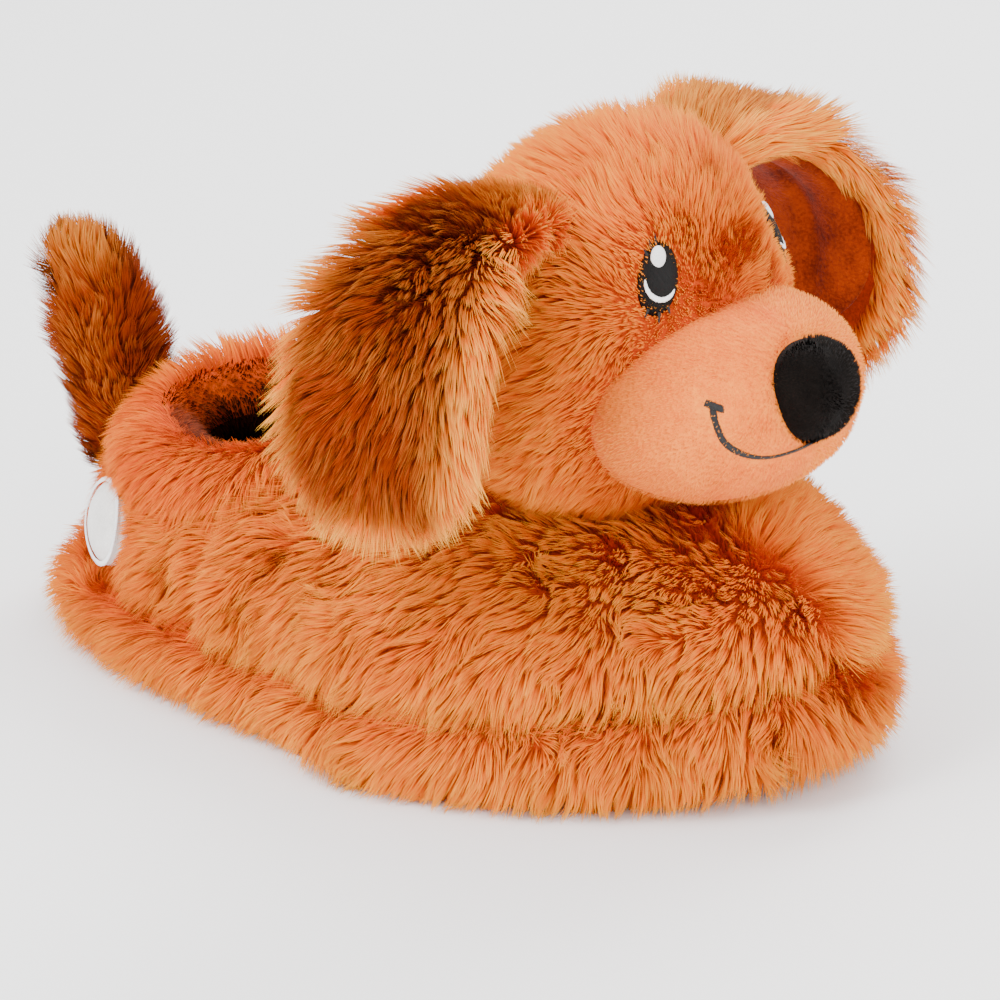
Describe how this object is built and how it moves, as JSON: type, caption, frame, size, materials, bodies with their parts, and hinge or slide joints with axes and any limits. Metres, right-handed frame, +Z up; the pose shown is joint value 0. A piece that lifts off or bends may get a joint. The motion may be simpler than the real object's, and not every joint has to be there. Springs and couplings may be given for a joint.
{
  "type": "puppy slipper",
  "caption": "Child's plush slipper in the form of a puppy, with stuffed head, hanging ears, upright tail, padded collar and furry sole band.",
  "frame": {"origin": "on the floor under the middle of the sole", "axes": "+X to the toe, +Y to the wearer's left, +Z up"},
  "size_m": [0.2336, 0.1711, 0.137],
  "materials": {
    "outsole": "matt grip cloth",
    "platform": "long pile",
    "insole": "short pile",
    "upper": "long pile",
    "collar": "long pile",
    "head": "long pile",
    "muzzle": "short pile",
    "nose": "short pile",
    "eye_left": "satin stitch",
    "eye_right": "satin stitch",
    "ear_left": "long pile",
    "ear_right": "long pile",
    "ear_lining_left": "short pile",
    "ear_lining_right": "short pile",
    "tail": "long pile",
    "heel_patch": "woven"
  },
  "bodies": {
    "root": {"outsole": "outsole", "platform": "platform", "insole": "insole", "upper": "upper", "collar": "collar", "head": "head", "muzzle": "muzzle", "nose": "nose", "eye_left": "eye_left", "eye_right": "eye_right", "ear_left": "ear_left", "ear_right": "ear_right", "ear_lining_left": "ear_lining_left", "ear_lining_right": "ear_lining_right", "tail": "tail", "heel_patch": "heel_patch"}
  },
  "joints": []
}
